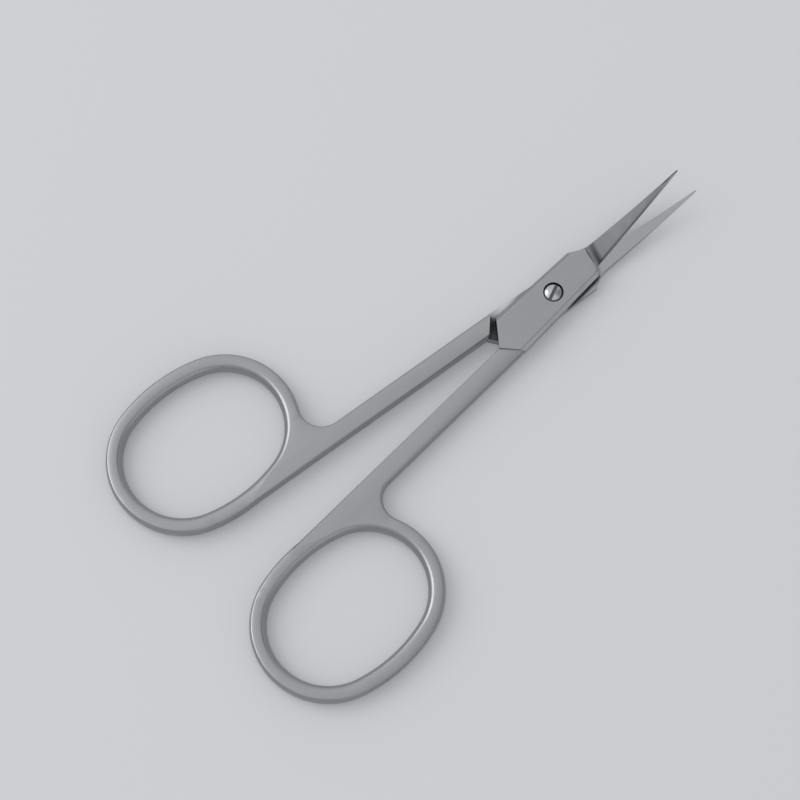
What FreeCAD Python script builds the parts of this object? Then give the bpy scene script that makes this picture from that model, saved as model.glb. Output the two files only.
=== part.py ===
import FreeCAD, Part
import math
import os

# Cuticle scissors: two forged steel halves that turn on one slotted screw.
# Millimetres and degrees. The screw's axis is Z, the blades point along +X, the screw head is on top and
# the underside of the joint lies at z = 0. Each half is drawn shut, with its riding face at z = 0 and its
# bow on the -Y side, and is then turned and lifted to its place.

# Finger bow
bow_reach = 56.3            # screw to the middle of the finger hole, along the scissors
bow_splay = 2.4             # turn of the hole's long axis, front end outwards
hole_length = 25.7
hole_width = 19.2
hole_side_radius = 23.1     # curve of the hole's two long sides
bow_wire = 2.6              # width of the bow, seen from above
bow_finger_crown = 0.75     # how far the finger side swells out between its two edges
bow_gap = 0.1               # between the two bows when the scissors are shut

# Shank
handle_thick = 2.8
shank_top_width = 2.55
shank_inner_crown = 0.08
outer_crown = 0.33          # swell of the outer side, the same along bow and shank
edge_break = 0.16           # bevel along the handle's edges
web_radius = 3.8            # hollow corner between the shank and the bow
web_rim = 1.0               # width of the bevelled rim along that corner

# Joint plate
plate_step = 0.3            # how far the plate stands above its own shank
plate_tail = 12.15          # screw to the pointed rear end
plate_tail_angle = 50.0     # of the two rear edges, to the long axis
plate_rear_half = 3.4
plate_front_half = 2.95
plate_chamfer = 0.55
plate_round = 0.35          # rounding between the plate's top and its chamfers
plate_nose_radius = 2.5     # rounded front corner on the cutting side
neck_radius = 5.0           # hollow corner where the plate narrows to the spine
shoulder_gap = 0.3          # rear edge of one plate to the other half's shoulder, when shut
ride_gap = 0.05             # between the two riding faces
rest_opening = 8.8          # angle between the halves as they lie

# Blade
blade_heel = 9.4            # screw to the start of the spine
edge_heel = 8.9             # screw to the start of the cutting edge
blade_tip = 27.4            # screw to the point
blade_heel_width = 2.9
blade_tip_width = 0.18
blade_heel_thick = 1.3
blade_tip_thick = 0.35
blade_rise = 2.4            # how far the points curve up from the riding plane
ride_flat = 8.0             # radius round the screw in which the riding faces are flat
edge_land = 0.08            # thickness left at the cutting edge
hone_width = 0.3            # narrow bevel along the cutting edge
hone_angle = 38.0
blade_stations = 6

# Ground hollow between the plate and the blade
hollow_reach = 9.15         # screw to the bottom of the hollow
hollow_radius = 1.2
hollow_slant = 11.0         # it runs a little back towards the cutting side
hollow_sink = 0.05          # depth under the blade's outer face, so that the two run together

# Pivot screw
head_radius = 1.35
head_gap = 0.21             # open ring round the head
head_edge = 0.55            # height of the head's straight side
head_dome = 0.24
journal_radius = 0.95       # plain shoulder that the upper half turns on
journal_gap = 0.03
thread_radius = 0.8
slot_width = 0.5
slot_depth = 0.4
slot_angle = 24.0           # of the slot, to the long axis

# One forging: how far its parts run into each other, and how far tangent faces cross
overlap = 0.3
blend = 0.015

plate_top = handle_thick / 2 + plate_step
half_handle = handle_thick / 2
shank_inner = bow_gap / 2 + outer_crown + blend
shank_outer = shank_inner + shank_top_width
tail_slope = math.radians(plate_tail_angle)
reach_over = blade_tip + bow_reach      # longer than any half, for cutting tools
rise_run = blade_tip - ride_flat
rise_radius = (rise_run ** 2 + blade_rise ** 2) / (2 * blade_rise)
z_axis = FreeCAD.Vector(0, 0, 1)


def point(x, y, z=0.0):
    return FreeCAD.Vector(x, y, z)


def line(start, end):
    return Part.LineSegment(start, end).toShape()


def arc(start, middle, end):
    return Part.Arc(start, middle, end).toShape()


def bend(centre, start, end):
    # The shorter arc from start to end about a centre.
    halfway = start + end - centre * 2
    halfway.normalize()
    return arc(start, centre + halfway * (start - centre).Length, end)


def round_about(centre, radius, angle):
    return centre + point(radius * math.cos(angle), radius * math.sin(angle))


def face(edges):
    return Part.Face(Part.Wire(edges))


def outline(points):
    return Part.Face(Part.makePolygon(points + points[:1]))


def slab(shape, low, high):
    placed = shape.copy()
    placed.translate(point(0, 0, low))
    return placed.extrude(point(0, 0, high - low))


def one_solid(shape):
    return shape.removeSplitter().Solids[0]


def blade_half_width(x):
    share = (x - blade_heel) / (blade_tip - blade_heel)
    return (blade_heel_width + share * (blade_tip_width - blade_heel_width)) / 2


def blade_thick(x):
    share = (x - blade_heel) / (blade_tip - blade_heel)
    return blade_heel_thick + share * (blade_tip_thick - blade_heel_thick)


def ride_height(radius):
    run = max(radius - ride_flat, 0.0)
    return rise_radius - math.sqrt(rise_radius ** 2 - run ** 2)


# The finger hole is an oval of four arcs: two long sides and two ends that meet them tangentially.
half_length = hole_length / 2
half_width = hole_width / 2
side_offset = hole_side_radius - half_width
end_radius = ((2 * half_width * hole_side_radius - half_length ** 2 - half_width ** 2)
              / (2 * (hole_side_radius - half_length)))
end_offset = half_length - end_radius
end_turn = math.atan2(side_offset, end_offset)
splay = -math.radians(bow_splay)
bow_side = bow_gap / 2 + bow_wire + hole_side_radius - side_offset * math.cos(splay)
bow_centre = point(-bow_reach, -bow_side)
front_centre = round_about(bow_centre, end_offset, splay)
inner_centre = round_about(bow_centre, side_offset, splay - math.pi / 2)
rear_centre = bow_centre * 2 - front_centre
outer_centre = bow_centre * 2 - inner_centre


def oval_arcs():
    end_sweep = 2 * end_turn
    side_sweep = math.pi - end_sweep
    first = splay - end_turn
    return [
        (front_centre, end_radius, first, end_sweep),
        (inner_centre, hole_side_radius, first + end_sweep, side_sweep),
        (rear_centre, end_radius, first + math.pi, end_sweep),
        (outer_centre, hole_side_radius, first + end_sweep + math.pi, side_sweep),
    ]


def swell(crown, height):
    # How far a side that swells by crown has drawn back at a height above or below its middle.
    radius = (crown ** 2 + half_handle ** 2) / (2 * crown)
    return radius - math.sqrt(radius ** 2 - height ** 2)


def handle_section(inner, inner_crown, outer):
    # Drawn in the XZ plane from the middle of the inner side to the middle of the outer side: both swell, top
    # and bottom are flat, and the four edges are bevelled.
    side_top = half_handle - edge_break
    inner_side = inner + swell(inner_crown, side_top)
    inner_flat = inner + inner_crown + edge_break
    outer_side = outer - swell(outer_crown, side_top)
    outer_flat = outer - outer_crown - edge_break
    corners = [
        point(inner_side, 0, -side_top),
        point(inner_flat, 0, -half_handle),
        point(outer_flat, 0, -half_handle),
        point(outer_side, 0, -side_top),
        point(outer_side, 0, side_top),
        point(outer_flat, 0, half_handle),
        point(inner_flat, 0, half_handle),
        point(inner_side, 0, side_top),
    ]
    underside = [line(start, end) for start, end in zip(corners[:3], corners[1:4])]
    upside = [line(start, end) for start, end in zip(corners[4:7], corners[5:])]
    outer_arc = arc(corners[3], point(outer, 0), corners[4])
    inner_arc = arc(corners[7], point(inner, 0), corners[0])
    return face(underside + [outer_arc] + upside + [inner_arc])


def bow():
    turns = []
    for centre, radius, start, sweep in oval_arcs():
        section = handle_section(radius, bow_finger_crown, radius + bow_wire)
        section.rotate(point(0, 0), z_axis, math.degrees(start))
        section.translate(centre)
        turns.append(section.revolve(centre, z_axis, math.degrees(sweep)))
    return turns[0].multiFuse(turns[1:])


def hole_core():
    # The hole widened to the middle of the bow's flat top.
    inset = (bow_finger_crown + bow_wire - outer_crown) / 2
    edges = []
    for centre, radius, start, sweep in oval_arcs():
        first = round_about(centre, radius + inset, start)
        last = round_about(centre, radius + inset, start + sweep)
        edges.append(bend(centre, first, last))
    return slab(face(edges), -handle_thick, handle_thick)


def shank_section(x, width):
    # Across the shank, inwards from its outer edge.
    inner = shank_outer - width - shank_inner_crown
    section = handle_section(inner, shank_inner_crown, shank_outer + outer_crown)
    section.rotate(point(0, 0), z_axis, -90)
    section.translate(point(x, 0))
    return section


def handle():
    # Hollow corner: tangent to the shank's outer edge and, a hair inside it, to the bow's outer edge.
    bow_edge = end_radius + bow_wire - outer_crown - blend
    corner_y = -shank_outer - web_radius
    corner_rise = corner_y - front_centre.y
    corner_run = math.sqrt((bow_edge + web_radius) ** 2 - corner_rise ** 2)
    corner = point(front_centre.x + corner_run, corner_y)
    bow_turn = math.atan2(corner_rise, corner_run)
    on_shank = point(corner.x, -shank_outer)

    # The bar of the shank runs from the bow's side into the joint plate.
    bar_start = inner_centre.x
    bar_end = overlap - plate_tail + shank_top_width / math.tan(tail_slope)
    bar = shank_section(bar_start, shank_top_width).extrude(point(bar_end - bar_start, 0))
    rim = shank_section(on_shank.x, web_rim).revolve(corner, z_axis, math.degrees(bow_turn + math.pi / 2))

    # The flat web between bar, rim and bow; its outline lies under their flat tops.
    inset = web_rim / 2
    bar_middle = (shank_inner + shank_outer) / 2
    web_front = point(on_shank.x, -bar_middle)
    web_inner = point(bar_start, -bar_middle)
    rim_bow = round_about(front_centre, bow_edge - inset, bow_turn)
    rim_shank = on_shank + point(0, inset)
    web = slab(face([
        line(web_front, web_inner),
        line(web_inner, bow_centre),
        line(bow_centre, rim_bow),
        bend(corner, rim_bow, rim_shank),
        line(rim_shank, web_front),
    ]), -half_handle, half_handle)
    return bow().multiFuse([bar.fuse(web).cut(hole_core()), rim])


def shoulder_cut():
    # Room for the other half's plate: all that lies below the riding face in front of the shoulder line.
    across = point(math.cos(tail_slope), -math.sin(tail_slope))
    forward = point(math.sin(tail_slope), math.cos(tail_slope))
    start = point(-plate_tail, shank_inner) - forward * shoulder_gap
    corners = [
        start - across * reach_over,
        start + across * reach_over,
        start + across * reach_over + forward * reach_over,
        start - across * reach_over + forward * reach_over,
    ]
    return slab(outline(corners), -handle_thick, ride_gap / 2)


def plate():
    apex = point(-plate_tail, -shank_inner)
    rise = math.tan(tail_slope)
    rear_spine = apex + point((plate_rear_half + shank_inner) / rise, plate_rear_half + shank_inner)
    rear_edge = apex + point((plate_rear_half - shank_inner) / rise, shank_inner - plate_rear_half)

    # Neck: a hollow arc from the plate's side into the spine, kept a hair inside the blade.
    spine_slope = math.atan2((blade_heel_width - blade_tip_width) / 2, blade_tip - blade_heel)
    spine_start = point(blade_heel, blade_half_width(blade_heel) - blend)
    neck = spine_start + point(math.sin(spine_slope), math.cos(spine_slope)) * neck_radius
    neck_run = math.sqrt(neck_radius ** 2 - (neck.y - plate_front_half) ** 2)
    front_spine = point(neck.x - neck_run, plate_front_half)

    # Nose: a round corner from the plate's side to the heel of the cutting edge.
    edge_start = point(edge_heel, blend - blade_half_width(edge_heel))
    nose_y = plate_nose_radius - plate_front_half
    nose = point(edge_heel - math.sqrt(plate_nose_radius ** 2 - (edge_start.y - nose_y) ** 2), nose_y)
    front_edge = point(nose.x, -plate_front_half)

    front = blade_heel + overlap
    front_half = blade_half_width(front) - blend
    body = slab(face([
        line(apex, rear_spine),
        line(rear_spine, front_spine),
        bend(neck, front_spine, spine_start),
        line(spine_start, point(front, front_half)),
        line(point(front, front_half), point(front, -front_half)),
        line(point(front, -front_half), edge_start),
        bend(nose, edge_start, front_edge),
        line(front_edge, rear_edge),
        line(rear_edge, apex),
    ]), 0, plate_top)
    sides = [(rear_spine + front_spine) / 2, (front_edge + rear_edge) / 2]
    long_edges = [edge for edge in body.Edges for side in sides
                  if edge.CenterOfMass.distanceToPoint(side + point(0, 0, plate_top)) < plate_chamfer]
    body = body.makeChamfer(plate_chamfer, long_edges)
    top_edges = [edge for edge in body.Edges for side in sides
                 if edge.CenterOfMass.distanceToPoint(side + point(0, 0, plate_top)) < plate_chamfer * 2
                 and edge.BoundBox.ZMin > plate_top - blend]
    return body.makeFillet(plate_round, top_edges)


def hollow_cut():
    # A round-bottomed cut whose floor lies along the blade's outer face.
    fall = blade_heel_thick - edge_land
    tilt = math.degrees(math.atan2(fall, blade_heel_width))
    floor = (blade_heel_thick + edge_land) / 2 - hollow_sink
    bottom = point(0, -plate_rear_half, 0)
    back = bottom + point(-hollow_radius, 0, hollow_radius)
    back_top = back + point(0, 0, handle_thick)
    front_top = back_top + point(hollow_radius * 2, 0, 0)
    front = bottom + point(hollow_radius, 0, 0)
    tool = face([
        bend(bottom + point(0, 0, hollow_radius), bottom, back),
        line(back, back_top),
        line(back_top, front_top),
        line(front_top, front),
        line(front, bottom),
    ])
    tool = tool.extrude(point(0, plate_rear_half * 2, 0))
    tool.rotate(point(0, 0), point(1, 0), tilt)
    tool.rotate(point(0, 0), z_axis, -hollow_slant)
    tool.translate(point(hollow_reach, 0, floor))
    return tool


def blade(side):
    # side is 1 for the blade above the riding face and -1 for the one below it.
    root = hollow_reach - hollow_radius
    stations = []
    for step in range(blade_stations):
        share = step / (blade_stations - 1)
        x = root + share * (blade_tip - root)
        half = blade_half_width(x)
        thick = blade_thick(x)
        hone = min(hone_width, half)
        hone_top = min(edge_land + hone * math.tan(math.radians(hone_angle)), thick / 2)
        profile = [
            (-half, -thick),
            (half, -thick),
            (half, thick),
            (hone - half, hone_top),
            (-half, edge_land),
        ]
        base = ride_height(x)
        corners = [point(x, side * y, base + side * z) for y, z in profile]
        stations.append(Part.makePolygon(corners + corners[:1]))
    return Part.makeLoft(stations, True, False)


def ride_cut(side):
    # The riding faces are turned about the screw, so they clear each other at every opening.
    far = blade_tip + ride_flat
    lift = side * ride_gap / 2
    deep = -side * handle_thick * 2
    flat_end = point(ride_flat, 0, lift)
    rise_end = point(far, 0, ride_height(far) + lift)
    profile = face([
        line(point(0, 0, deep), point(0, 0, lift)),
        line(point(0, 0, lift), flat_end),
        bend(flat_end + point(0, 0, rise_radius), flat_end, rise_end),
        line(rise_end, point(far, 0, deep)),
        line(point(far, 0, deep), point(0, 0, deep)),
    ])
    return profile.revolve(point(0, 0), z_axis, 360)


def hole(radius, low, high):
    return Part.makeCylinder(radius, high - low, point(0, 0, low))


def half(side, holes):
    rear = handle().cut(shoulder_cut())
    front = plate().cut(hollow_cut())
    if side < 0:
        rear.rotate(point(0, 0), point(1, 0), 180)
        front.rotate(point(0, 0), point(1, 0), 180)
    front = front.fuse(blade(side)).cut(ride_cut(side))
    whole = rear.fuse(front).cut(holes)
    whole.rotate(point(0, 0), z_axis, side * rest_opening / 2)
    whole.translate(point(0, 0, plate_top))
    return one_solid(whole)


def upper_half():
    seat = plate_top - head_edge - head_dome
    bore = hole(journal_radius + journal_gap, -plate_top, plate_top)
    return half(1, bore.fuse(hole(head_radius + head_gap, seat, plate_top * 2)))


def lower_half():
    return half(-1, hole(thread_radius, -plate_top * 2, plate_top))


def pivot_screw():
    seat = plate_top - head_edge - head_dome + ride_gap / 2
    side_top = seat + head_edge
    crown = side_top + head_dome
    dome_radius = (head_radius ** 2 + head_dome ** 2) / (2 * head_dome)
    profile = face([
        line(point(0, 0, -plate_top), point(thread_radius, 0, -plate_top)),
        line(point(thread_radius, 0, -plate_top), point(thread_radius, 0, -ride_gap / 2)),
        line(point(thread_radius, 0, -ride_gap / 2), point(journal_radius, 0, -ride_gap / 2)),
        line(point(journal_radius, 0, -ride_gap / 2), point(journal_radius, 0, seat)),
        line(point(journal_radius, 0, seat), point(head_radius, 0, seat)),
        line(point(head_radius, 0, seat), point(head_radius, 0, side_top)),
        bend(point(0, 0, crown - dome_radius), point(head_radius, 0, side_top), point(0, 0, crown)),
        line(point(0, 0, crown), point(0, 0, -plate_top)),
    ])
    screw = profile.revolve(point(0, 0), z_axis, 360)
    slot = Part.makeBox(head_radius * 4, slot_width, slot_depth * 2,
                        point(-head_radius * 2, -slot_width / 2, crown - slot_depth))
    slot.rotate(point(0, 0), z_axis, slot_angle)
    screw = screw.cut(slot)
    screw.translate(point(0, 0, plate_top))
    return one_solid(screw)


os.makedirs("parts", exist_ok=True)
for name, make in (("upper_half", upper_half), ("lower_half", lower_half), ("pivot_screw", pivot_screw)):
    solid = make()
    solid.exportStep("parts/" + name + ".step")
    print(name, "valid", solid.isValid(), "volume", round(solid.Volume, 2), solid.BoundBox)
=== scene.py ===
import bpy
import math
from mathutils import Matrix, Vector

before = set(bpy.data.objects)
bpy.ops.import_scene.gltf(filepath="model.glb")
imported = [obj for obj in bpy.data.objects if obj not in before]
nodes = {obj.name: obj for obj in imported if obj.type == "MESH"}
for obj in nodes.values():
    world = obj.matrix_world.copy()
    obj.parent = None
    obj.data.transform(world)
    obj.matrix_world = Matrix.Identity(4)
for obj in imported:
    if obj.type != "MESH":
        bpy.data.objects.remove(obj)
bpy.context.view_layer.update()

mm = 0.001
print("frame loaded:", ", ".join(sorted(nodes)))


# small helpers for node trees
def newMaterial(name):
    mat = bpy.data.materials.new(name)
    mat.use_nodes = True
    tree = mat.node_tree
    tree.nodes.clear()
    out = tree.nodes.new("ShaderNodeOutputMaterial")
    shader = tree.nodes.new("ShaderNodeBsdfPrincipled")
    tree.links.new(shader.outputs[0], out.inputs[0])
    return mat, tree, shader


def addNode(tree, kind, **settings):
    node = tree.nodes.new(kind)
    for key, value in settings.items():
        setattr(node, key, value)
    return node


def feed(tree, node, socket, source):
    # a number or colour goes on the socket, anything else is linked to it
    if isinstance(source, bpy.types.NodeSocket):
        tree.links.new(source, node.inputs[socket])
    else:
        node.inputs[socket].default_value = source


def objectPlace(tree):
    return addNode(tree, "ShaderNodeTexCoord").outputs["Object"]


def axesOf(tree, vector):
    node = addNode(tree, "ShaderNodeSeparateXYZ")
    feed(tree, node, 0, vector)
    return node.outputs


def stretched(tree, place, scale):
    mapping = addNode(tree, "ShaderNodeMapping")
    feed(tree, mapping, "Vector", place)
    feed(tree, mapping, "Scale", scale)
    return mapping.outputs["Vector"]


def noise(tree, place, scale, detail):
    node = addNode(tree, "ShaderNodeTexNoise")
    feed(tree, node, "Vector", place)
    feed(tree, node, "Scale", scale)
    feed(tree, node, "Detail", detail)
    return node.outputs[0]


def spread(tree, value, low, high, toLow=0.0, toHigh=1.0):
    # goes evenly from toLow to toHigh while the value goes from low to high
    node = addNode(tree, "ShaderNodeMapRange", interpolation_type="LINEAR")
    feed(tree, node, "Value", value)
    feed(tree, node, "From Min", low)
    feed(tree, node, "From Max", high)
    feed(tree, node, "To Min", toLow)
    feed(tree, node, "To Max", toHigh)
    return node.outputs["Result"]


def sums(tree, operation, first, second):
    node = addNode(tree, "ShaderNodeMath", operation=operation)
    feed(tree, node, 0, first)
    feed(tree, node, 1, second)
    return node.outputs[0]


def product(tree, first, *others):
    for other in others:
        first = sums(tree, "MULTIPLY", first, other)
    return first


def offFrom(tree, value, middle):
    return sums(tree, "ABSOLUTE", sums(tree, "SUBTRACT", value, middle), 0.0)


def tint(tree, share, first, second):
    node = addNode(tree, "ShaderNodeMix", data_type="RGBA")
    feed(tree, node, 0, share)
    feed(tree, node, 6, first)
    feed(tree, node, 7, second)
    return node.outputs[2]


def blendOf(tree, share, first, second):
    node = addNode(tree, "ShaderNodeMix", data_type="FLOAT")
    feed(tree, node, 0, share)
    feed(tree, node, 2, first)
    feed(tree, node, 3, second)
    return node.outputs[0]


def raised(tree, height, distance, strength):
    node = addNode(tree, "ShaderNodeBump")
    feed(tree, node, "Height", height)
    feed(tree, node, "Distance", distance)
    feed(tree, node, "Strength", strength)
    return node.outputs["Normal"]


# steel of the two halves: satin handles, ground blades and riding faces
steel = {
    "colour": (0.320, 0.330, 0.348, 1.0),
    "edgeColour": (0.344, 0.355, 0.374, 1.0),
    "mottleColour": (0.243, 0.251, 0.265, 1.0),
    "gapShade": (0.014, 0.014, 0.015, 1.0),
    "honeShade": (0.117, 0.121, 0.127, 1.0),
    "ridingHighlight": (0.505, 0.520, 0.548, 1.0),
    "hollowShade": (0.065, 0.066, 0.068, 1.0),
    "notchShade": (0.036, 0.036, 0.038, 1.0),
    "satinRough": 0.30,
    "groundRough": 0.19,
    "edgeRough": 0.26,
    "groundFade": 0.2 * mm,
    "grainScale": 9000.0,
    "grainDetail": 3.0,
    "mottleScale": 420.0,
    "mottleDetail": 4.0,
    "mottleRough": (0.3, 0.7, -0.04, 0.05),     # noise from and to, what it adds to the roughness
    "mottleTint": (0.25, 0.75, 0.0, 0.10),      # noise from and to, share of the mottle's colour
    "lineScale": (1200.0, 14000.0, 14000.0),
    "lineDetail": 3.0,
    "reliefHeight": 0.004 * mm,
    "reliefStrength": 0.35,
    "edgeReach": 0.10 * mm,
    "edgeSamples": 6,
    "edgeTurn": (0.99, 0.86),                   # how far the surface turns away, as a cosine
    "creviceReach": 1.6 * mm,
    "skySamples": 12,
    "creviceSky": (0.62, 0.22),                 # open share of the sky, from and to
}


def edgeShare(tree):
    # 1 along worn outer edges, 0 on open faces
    soft = addNode(tree, "ShaderNodeBevel", samples=steel["edgeSamples"])
    feed(tree, soft, "Radius", steel["edgeReach"])
    plain = addNode(tree, "ShaderNodeNewGeometry")
    dot = addNode(tree, "ShaderNodeVectorMath", operation="DOT_PRODUCT")
    feed(tree, dot, 0, soft.outputs[0])
    feed(tree, dot, 1, plain.outputs["Normal"])
    return spread(tree, dot.outputs["Value"], *steel["edgeTurn"])


def openSky(tree):
    # 1 on open faces, falling towards 0 deep in a gap
    shade = addNode(tree, "ShaderNodeAmbientOcclusion", samples=steel["skySamples"])
    feed(tree, shade, "Distance", steel["creviceReach"])
    return shade.outputs["AO"]


def facingUp(tree):
    return axesOf(tree, addNode(tree, "ShaderNodeNewGeometry").outputs["True Normal"])["Z"]


# painted shade: near-black colour deep in gaps, where the occlusion test finds little open sky
def gapShadeShare(tree, axes, sky):
    return spread(tree, sky, *steel["creviceSky"])


# painted shade along the ground hollow between the plate and the blade's face
hollow = {
    "middle": 9.15 * mm,
    "slant": 0.185,
    "fade": (0.80 * mm, 0.15 * mm),
    "darker": (2.4 * mm, -0.8 * mm, 0.55, 1.0),     # from the spine to the cutting side
}


def hollowShadeShare(tree, axes, sky):
    across = sums(tree, "SUBTRACT", axes["X"], sums(tree, "MULTIPLY", axes["Y"], hollow["slant"]))
    off = offFrom(tree, across, hollow["middle"])
    return product(tree, spread(tree, off, *hollow["fade"]), spread(tree, axes["Y"], *hollow["darker"]))


# painted shade on the honed facet beside the cutting edge, darker where the facet leans steeply
hone = {
    "start": (8.9 * mm, 9.3 * mm),
    "steepest": (0.35, 0.45),       # upward part of the facet's normal
    "flattest": (0.84, 0.76),
}


def honeShadeShare(tree, axes, sky):
    up = facingUp(tree)
    steep = product(tree, spread(tree, up, *hone["steepest"]), spread(tree, up, *hone["flattest"]))
    return product(tree, spread(tree, axes["X"], *hone["start"]), steep)


# flat face of the lower half, which the upper plate slides on
riding = {
    "height": (1.80 * mm, 1.74 * mm),
    "start": (-12.7 * mm, -12.6 * mm),
    "facing": (0.7, 0.9),
    "highlightMiddle": -6.6 * mm,
    "highlightFade": (2.8 * mm, 0.6 * mm),
    "notchFade": (-10.0 * mm, -11.6 * mm),
    "seamSky": (0.72, 0.54),
}


def ridingShare(tree, axes):
    low = spread(tree, axes["Z"], *riding["height"])
    ahead = spread(tree, axes["X"], *riding["start"])
    return product(tree, low, ahead, spread(tree, facingUp(tree), *riding["facing"]))


def ridingHighlightShare(tree, axes, sky):
    # painted highlight: a bright patch on the face the upper plate slides on
    off = offFrom(tree, axes["X"], riding["highlightMiddle"])
    return product(tree, ridingShare(tree, axes), spread(tree, off, *riding["highlightFade"]))


def notchShadeShare(tree, axes, sky):
    # painted shade in the corner of the shoulder
    return product(tree, ridingShare(tree, axes), spread(tree, axes["X"], *riding["notchFade"]))


def seamShadeShare(tree, axes, sky):
    # painted shade: a thin dark line along the seam between the two plates
    return product(tree, ridingShare(tree, axes), spread(tree, sky, *riding["seamSky"]))


def halfSteel(name, groundFrom, zones):
    mat, tree, shader = newMaterial(name)
    place = objectPlace(tree)
    axes = axesOf(tree, place)
    fade = steel["groundFade"]
    ground = spread(tree, axes["X"], groundFrom - fade, groundFrom + fade)

    grain = noise(tree, place, steel["grainScale"], steel["grainDetail"])
    mottle = noise(tree, place, steel["mottleScale"], steel["mottleDetail"])
    lines = noise(tree, stretched(tree, place, steel["lineScale"]), 1.0, steel["lineDetail"])
    edge = edgeShare(tree)
    sky = openSky(tree)

    rough = blendOf(tree, ground, steel["satinRough"], steel["groundRough"])
    rough = sums(tree, "ADD", rough, spread(tree, mottle, *steel["mottleRough"]))
    rough = blendOf(tree, edge, rough, steel["edgeRough"])
    feed(tree, shader, "Roughness", rough)

    colour = tint(tree, edge, steel["colour"], steel["edgeColour"])
    colour = tint(tree, spread(tree, mottle, *steel["mottleTint"]), colour, steel["mottleColour"])
    # each zone paints over the steel: painted shade in gaps, the hollow, the hone facet, the notch and the
    # seam, and a painted highlight on the riding face
    for share, zoneColour in zones:
        colour = tint(tree, share(tree, axes, sky), colour, steel[zoneColour])
    feed(tree, shader, "Base Color", colour)
    feed(tree, shader, "Metallic", 1.0)

    relief = blendOf(tree, ground, grain, lines)
    feed(tree, shader, "Normal", raised(tree, relief, steel["reliefHeight"], steel["reliefStrength"]))
    return mat


# polished head of the screw, with painted shade in the slot and round the rim
polish = {
    "colour": (0.448, 0.462, 0.486, 1.0),
    "slotAndRimShade": (0.095, 0.095, 0.098, 1.0),
    "slotHeight": (3.14 * mm, 3.10 * mm),
    "rim": (1.16 * mm, 1.30 * mm),
    "scuffScale": 2600.0,
    "scuffDetail": 3.0,
    "scuffRough": (0.3, 0.7, 0.12, 0.22),       # noise from and to, roughness from and to
    "scuffHeight": 0.01 * mm,
    "scuffStrength": 0.15,
}


def screwSteel():
    mat, tree, shader = newMaterial("polishedSteel")
    place = objectPlace(tree)
    slot = spread(tree, axesOf(tree, place)["Z"], *polish["slotHeight"])
    fromAxis = addNode(tree, "ShaderNodeVectorMath", operation="LENGTH")
    feed(tree, fromAxis, 0, stretched(tree, place, (1.0, 1.0, 0.0)))
    rim = spread(tree, fromAxis.outputs["Value"], *polish["rim"])
    shadedSlotAndRim = sums(tree, "MAXIMUM", slot, rim)
    scuffs = noise(tree, place, polish["scuffScale"], polish["scuffDetail"])
    feed(tree, shader, "Base Color", tint(tree, shadedSlotAndRim, polish["colour"], polish["slotAndRimShade"]))
    feed(tree, shader, "Roughness", spread(tree, scuffs, *polish["scuffRough"]))
    feed(tree, shader, "Metallic", 1.0)
    feed(tree, shader, "Normal", raised(tree, scuffs, polish["scuffHeight"], polish["scuffStrength"]))
    return mat


# bevels and facets shade as one rounded surface, real corners stay crisp
shading = {
    "handleLimit": math.radians(62.0),
    "jointLimit": math.radians(28.0),
    "jointStart": (-12.7 * mm, -12.6 * mm),
    "mergeWithin": 0.02 * mm,
    "smallFaceWeight": 30,
}


def softenBevels():
    group = bpy.data.node_groups.new("softBevels", "GeometryNodeTree")
    group.interface.new_socket("Geometry", in_out="INPUT", socket_type="NodeSocketGeometry")
    group.interface.new_socket("Geometry", in_out="OUTPUT", socket_type="NodeSocketGeometry")
    start = addNode(group, "NodeGroupInput")
    end = addNode(group, "NodeGroupOutput")

    axes = axesOf(group, addNode(group, "GeometryNodeInputPosition").outputs[0])
    limit = spread(group, axes["X"], *shading["jointStart"], shading["handleLimit"], shading["jointLimit"])
    sharp = addNode(group, "FunctionNodeCompare", operation="GREATER_THAN")
    feed(group, sharp, 0, addNode(group, "GeometryNodeInputMeshEdgeAngle").outputs["Unsigned Angle"])
    feed(group, sharp, 1, limit)

    joined = addNode(group, "GeometryNodeMergeByDistance")
    feed(group, joined, "Geometry", start.outputs[0])
    feed(group, joined, "Distance", shading["mergeWithin"])
    normals = addNode(group, "GeometryNodeSetMeshNormal", mode="SHARPNESS")
    feed(group, normals, "Mesh", joined.outputs[0])
    feed(group, normals, "Remove Custom", True)
    feed(group, normals, "Edge Sharpness", sharp.outputs[0])
    feed(group, end, 0, normals.outputs[0])
    return group


softBevels = softenBevels()
upperZones = [
    (honeShadeShare, "honeShade"),
    (hollowShadeShare, "hollowShade"),
    (gapShadeShare, "gapShade"),
]
lowerZones = [
    (ridingHighlightShare, "ridingHighlight"),
    (seamShadeShare, "gapShade"),
    (notchShadeShare, "notchShade"),
    (gapShadeShare, "gapShade"),
]
finishes = {
    "upper_half": halfSteel("upperSteel", 8.7 * mm, upperZones),
    "lower_half": halfSteel("lowerSteel", -12.2 * mm, lowerZones),
    "pivot_screw": screwSteel(),
}
for name, finish in finishes.items():
    piece = nodes[name]
    for slot in piece.material_slots:
        slot.material = finish
    piece.modifiers.new("softBevels", "NODES").node_group = softBevels
    weighted = piece.modifiers.new("weightedNormals", "WEIGHTED_NORMAL")
    weighted.keep_sharp = True
    weighted.weight = shading["smallFaceWeight"]
print("finishes on", len(finishes), "pieces")


# pale table top, well past the picture's edges
table = {
    "half": 1.5,
    "colour": (0.600, 0.612, 0.638, 1.0),
    "roughness": 0.7,
    "ownPaleness": 0.25,
}


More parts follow.
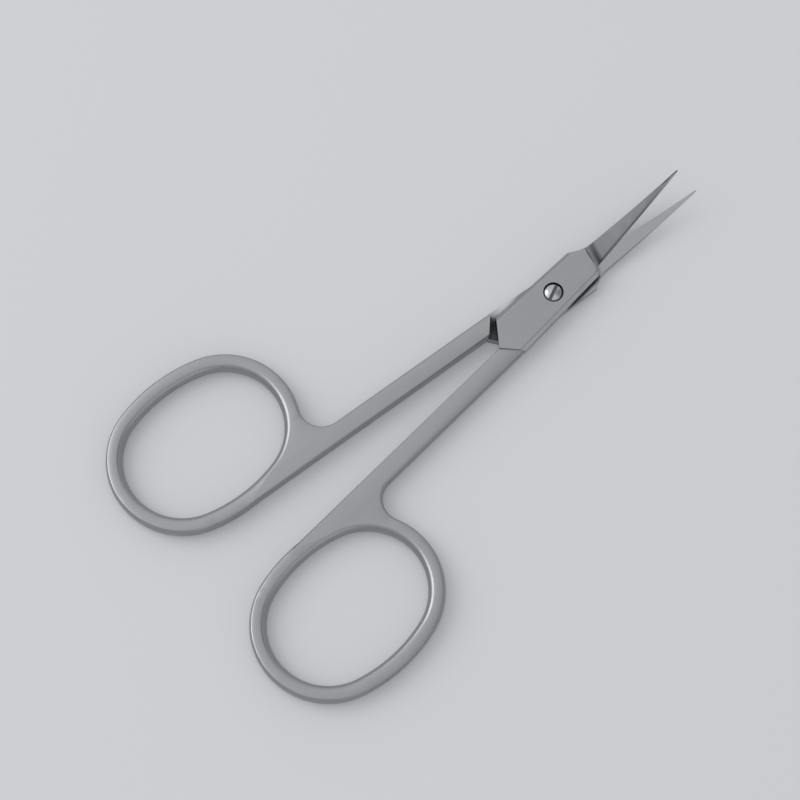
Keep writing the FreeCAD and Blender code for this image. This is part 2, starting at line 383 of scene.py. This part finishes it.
def tableTop():
    half = table["half"]
    corners = [(-half, -half, 0), (half, -half, 0), (half, half, 0), (-half, half, 0)]
    mesh = bpy.data.meshes.new("tableTop")
    mesh.from_pydata(corners, [], [(0, 1, 2, 3)])
    top = bpy.data.objects.new("tableTop", mesh)
    bpy.context.collection.objects.link(top)
    mat, tree, shader = newMaterial("paleTable")
    feed(tree, shader, "Base Color", table["colour"])
    feed(tree, shader, "Roughness", table["roughness"])

    # part of the paleness that is seen or mirrored is its own, so shadows stay light; it lights nothing
    path = addNode(tree, "ShaderNodeLightPath")
    seen = sums(tree, "MAXIMUM", path.outputs["Is Camera Ray"], path.outputs["Is Glossy Ray"])
    seen = sums(tree, "MAXIMUM", seen, path.outputs["Is Transmission Ray"])
    glow = addNode(tree, "ShaderNodeEmission")
    feed(tree, glow, "Color", table["colour"])
    both = addNode(tree, "ShaderNodeMixShader")
    feed(tree, both, 0, product(tree, seen, table["ownPaleness"]))
    feed(tree, both, 1, shader.outputs[0])
    feed(tree, both, 2, glow.outputs[0])
    tree.links.new(both.outputs[0], tree.get_output_node("ALL").inputs[0])
    mesh.materials.append(mat)


tableTop()


def aimed(name, data, at, target):
    holder = bpy.data.objects.new(name, data)
    bpy.context.collection.objects.link(holder)
    holder.location = at
    holder.rotation_mode = "QUATERNION"
    holder.rotation_quaternion = (Vector(target) - Vector(at)).to_track_quat("-Z", "Y")
    return holder


# soft studio: a bright room, dimmer in one patch overhead, and one large lamp from the upper left
studio = {
    "byHeight": (
        (0.0, 0.72), (0.3, 0.72), (0.5, 0.68), (0.7, 0.72),
        (0.86, 0.86), (0.95, 0.98), (1.0, 0.94),
    ),
    "bySide": (
        (0.0, 1.5), (0.06, 1.35), (0.13, 0.80), (0.2, 0.86), (0.27, 0.95),
        (0.5, 0.94), (0.62, 1.04), (0.8, 1.2), (1.0, 1.2),
    ),
    "dimToward": (0.55, -0.12, 0.83),
    "dimAngles": (24.0, 8.0),
    "dimLevel": 0.45,
    "lampAt": (-0.484, 0.692, 0.782),
    "lampAim": (-0.02, 0.0, 0.0),
    "lampSize": 0.9,
    "lampWatts": 4.8,
}


def greyRamp(tree, value, levels):
    node = addNode(tree, "ShaderNodeValToRGB")
    feed(tree, node, 0, value)
    steps = node.color_ramp.elements
    while len(steps) < len(levels):
        steps.new(1.0)
    for step, (at, level) in zip(steps, levels):
        step.position = at
        step.color = (level, level, level, 1.0)
    return node.outputs[0]


def studioLight():
    world = bpy.data.worlds.new("room")
    world.use_nodes = True
    bpy.context.scene.world = world
    tree = world.node_tree
    sky = tree.nodes["Background"]
    way = addNode(tree, "ShaderNodeTexCoord").outputs["Generated"]
    axes = axesOf(tree, way)
    feed(tree, sky, "Color", greyRamp(tree, axes["Z"], studio["byHeight"]))

    toward = addNode(tree, "ShaderNodeVectorMath", operation="DOT_PRODUCT")
    feed(tree, toward, 0, way)
    feed(tree, toward, 1, Vector(studio["dimToward"]).normalized())
    wide, narrow = (math.cos(math.radians(angle)) for angle in studio["dimAngles"])
    dim = spread(tree, toward.outputs["Value"], wide, narrow, 1.0, studio["dimLevel"])
    side = greyRamp(tree, spread(tree, axes["Y"], -1.0, 1.0), studio["bySide"])
    feed(tree, sky, "Strength", product(tree, side, dim))

    lamp = bpy.data.lights.new("softLamp", "AREA")
    lamp.shape = "SQUARE"
    lamp.size = studio["lampSize"]
    lamp.energy = studio["lampWatts"]
    aimed("softLamp", lamp, studio["lampAt"], studio["lampAim"])


studioLight()

# camera at the photograph's angle
eye = {
    "at": (-0.1096, -0.0912, 0.3990),
    "target": (-0.02845, 0.00264, 0.0017),
    "fieldDegrees": 16.44,
    "sensorWidth": 36.0,
    "nearest": 0.01,
}


def photoCamera():
    lens = bpy.data.cameras.new("photoCamera")
    lens.sensor_width = eye["sensorWidth"]
    lens.lens = eye["sensorWidth"] / 2 / math.tan(math.radians(eye["fieldDegrees"] / 2))
    lens.clip_start = eye["nearest"]
    bpy.context.scene.camera = aimed("photoCamera", lens, eye["at"], eye["target"])


photoCamera()
bpy.context.scene.view_settings.view_transform = "Standard"
print("table, light and camera set")
